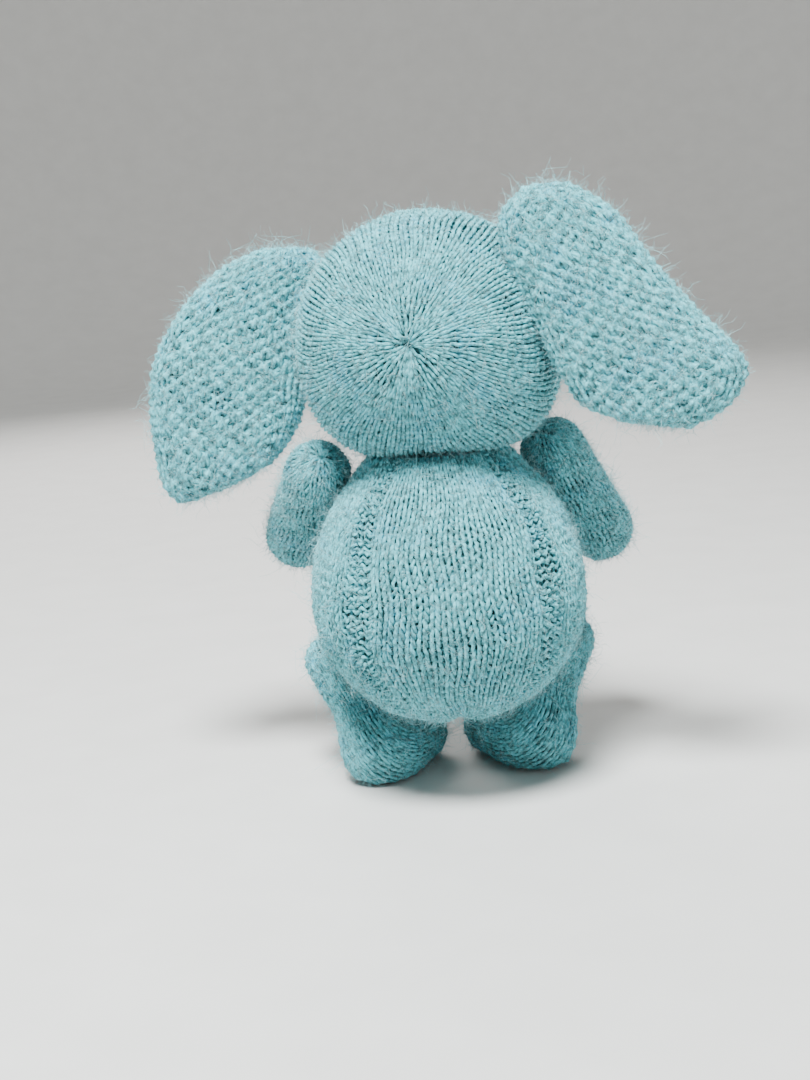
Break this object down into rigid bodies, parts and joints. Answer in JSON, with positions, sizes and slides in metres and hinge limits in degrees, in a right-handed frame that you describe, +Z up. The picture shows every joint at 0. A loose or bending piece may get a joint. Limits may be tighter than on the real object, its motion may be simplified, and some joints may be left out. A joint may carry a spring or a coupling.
{
  "type": "stuffed elephant",
  "caption": "Small knitted stuffed elephant with a round head, curled trunk, broad floppy ears and an egg-shaped body; head, arms, legs and ears turn on sewn-in joints.",
  "frame": {"origin": "on the floor between the feet, straight below the neck's turning axis", "axes": "+Z up; the face and trunk look along -Y; +X is towards the toy's own left arm"},
  "size_m": [0.105, 0.0696, 0.1099],
  "materials": {
    "knitted_wool": "matte",
    "seed_stitch_wool": "matte",
    "ear_lining_wool": "matte",
    "sewing_yarn": "matte",
    "fibrefill": "matte",
    "fibreboard": "matte",
    "steel": "satin",
    "bead": "gloss",
    "black_thread": "matte"
  },
  "bodies": {
    "torso": {"torso_cover": "knitted_wool", "torso_stuffing": "fibrefill", "neck_pin": "steel", "neck_body_disc": "fibreboard", "neck_body_washer": "steel", "left_shoulder_pin": "steel", "left_shoulder_body_disc": "fibreboard", "left_shoulder_body_washer": "steel", "right_shoulder_pin": "steel", "right_shoulder_body_disc": "fibreboard", "right_shoulder_body_washer": "steel", "left_hip_pin": "steel", "left_hip_body_disc": "fibreboard", "left_hip_body_washer": "steel", "right_hip_pin": "steel", "right_hip_body_disc": "fibreboard", "right_hip_body_washer": "steel"},
    "head": {"head_cover": "knitted_wool", "head_stuffing": "fibrefill", "head_disc": "fibreboard", "head_washer": "steel", "left_eye": "bead", "right_eye": "bead", "eye_thread": "black_thread", "left_ear_seam_yarn": "sewing_yarn", "right_ear_seam_yarn": "sewing_yarn"},
    "left_ear": {"left_ear_back": "seed_stitch_wool", "left_ear_front": "ear_lining_wool", "left_ear_wadding": "fibrefill"},
    "left_arm": {"left_arm_cover": "knitted_wool", "left_arm_stuffing": "fibrefill", "left_arm_disc": "fibreboard", "left_arm_washer": "steel"},
    "left_leg": {"left_leg_cover": "knitted_wool", "left_leg_stuffing": "fibrefill", "left_leg_disc": "fibreboard", "left_leg_washer": "steel"},
    "right_ear": {"right_ear_back": "seed_stitch_wool", "right_ear_front": "ear_lining_wool", "right_ear_wadding": "fibrefill"},
    "right_arm": {"right_arm_cover": "knitted_wool", "right_arm_stuffing": "fibrefill", "right_arm_disc": "fibreboard", "right_arm_washer": "steel"},
    "right_leg": {"right_leg_cover": "knitted_wool", "right_leg_stuffing": "fibrefill", "right_leg_disc": "fibreboard", "right_leg_washer": "steel"}
  },
  "joints": [
    {"name": "head_turn", "type": "hinge", "parent": "torso", "child": "head", "pos_m": [0, 0, 0.0628], "axis": [0, 0, 1], "range_deg": [-60, 60]},
    {"name": "left_arm_swing", "type": "hinge", "parent": "torso", "child": "left_arm", "pos_m": [0.01852, -0.00674, 0.05561], "axis": [-0.7698, 0.2802, -0.5736], "range_deg": [-90, 45]},
    {"name": "right_arm_swing", "type": "hinge", "parent": "torso", "child": "right_arm", "pos_m": [-0.01852, -0.00674, 0.05561], "axis": [-0.7698, -0.2802, 0.5736], "range_deg": [-72, 63]},
    {"name": "left_leg_swing", "type": "hinge", "parent": "torso", "child": "left_leg", "pos_m": [0.01706, -0.01066, 0.02222], "axis": [-0.6591, 0.4118, 0.6293], "range_deg": [-40, 90]},
    {"name": "right_leg_swing", "type": "hinge", "parent": "torso", "child": "right_leg", "pos_m": [-0.01706, -0.01066, 0.02222], "axis": [-0.6591, -0.4118, -0.6293], "range_deg": [-40, 90]},
    {"name": "left_ear_flap", "type": "hinge", "parent": "head", "child": "left_ear", "pos_m": [0.02387, -0.01116, 0.09025], "axis": [-0.22, 0.0468, 0.9744], "range_deg": [-25, 25], "stiffness_Nm_per_rad": 0.003},
    {"name": "right_ear_flap", "type": "hinge", "parent": "head", "child": "right_ear", "pos_m": [-0.02095, 0.01555, 0.09063], "axis": [-0.2532, 0.0538, -0.9659], "range_deg": [-25, 25], "stiffness_Nm_per_rad": 0.003}
  ]
}
